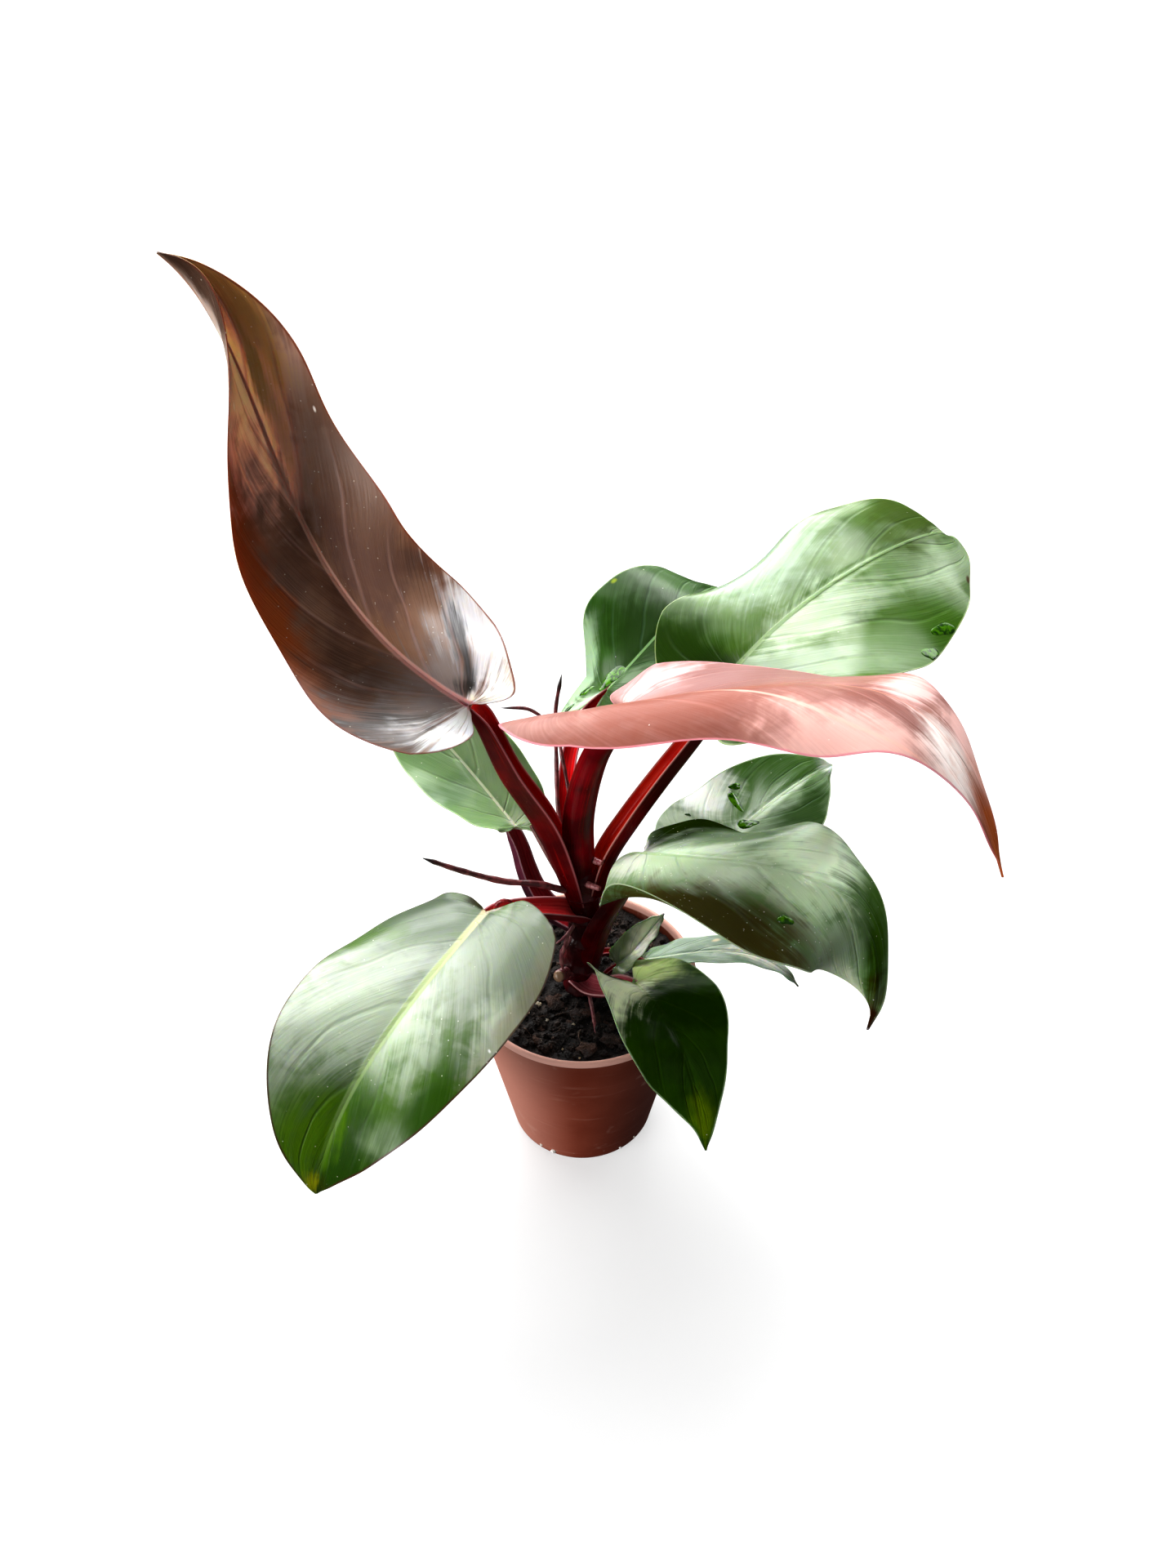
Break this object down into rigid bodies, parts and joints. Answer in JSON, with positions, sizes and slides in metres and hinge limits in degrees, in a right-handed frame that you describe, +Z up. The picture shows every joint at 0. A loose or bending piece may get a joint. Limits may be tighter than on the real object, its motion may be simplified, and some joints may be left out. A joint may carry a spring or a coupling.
{
  "type": "potted copper philodendron",
  "caption": "Rooted philodendron with copper, pink and green leaves on maroon petioles, standing in a tapered plastic nursery pot filled with soil.",
  "frame": {"origin": "centre of the pot's base, on the surface it stands on", "axes": "+Z up, +X to the right of the front view with the copper leaf on the left, +Y away from the viewer"},
  "size_m": [0.3453, 0.2905, 0.4645],
  "materials": {
    "pot": "matte",
    "soil": "matte",
    "stem": "satin",
    "petiole": "satin",
    "dry_sheath": "matte",
    "aerial_root": "satin",
    "copper_leaf": "gloss",
    "pink_leaf": "gloss",
    "pale_green_leaf": "gloss",
    "green_leaf": "gloss",
    "dark_green_leaf": "gloss"
  },
  "bodies": {
    "root": {"pot": "pot", "soil": "soil", "stem": "stem", "petiole_copper": "petiole", "petiole_pink": "petiole", "petiole_upper_right": "petiole", "petiole_upper_back": "petiole", "petiole_left_back": "petiole", "petiole_right_back": "petiole", "petiole_right": "petiole", "petiole_front_left": "petiole", "petiole_front_right": "petiole", "petiole_low_right": "petiole", "petiole_small": "petiole", "dry_sheath": "dry_sheath", "aerial_root_left": "aerial_root", "aerial_root_short": "aerial_root", "aerial_root_upright": "aerial_root", "blade_copper": "copper_leaf", "blade_pink": "pink_leaf", "blade_upper_right": "pale_green_leaf", "blade_upper_back": "dark_green_leaf", "blade_left_back": "pale_green_leaf", "blade_right_back": "green_leaf", "blade_right": "green_leaf", "blade_front_left": "pale_green_leaf", "blade_front_right": "dark_green_leaf", "blade_low_right": "pale_green_leaf", "blade_small": "pale_green_leaf"}
  },
  "joints": []
}
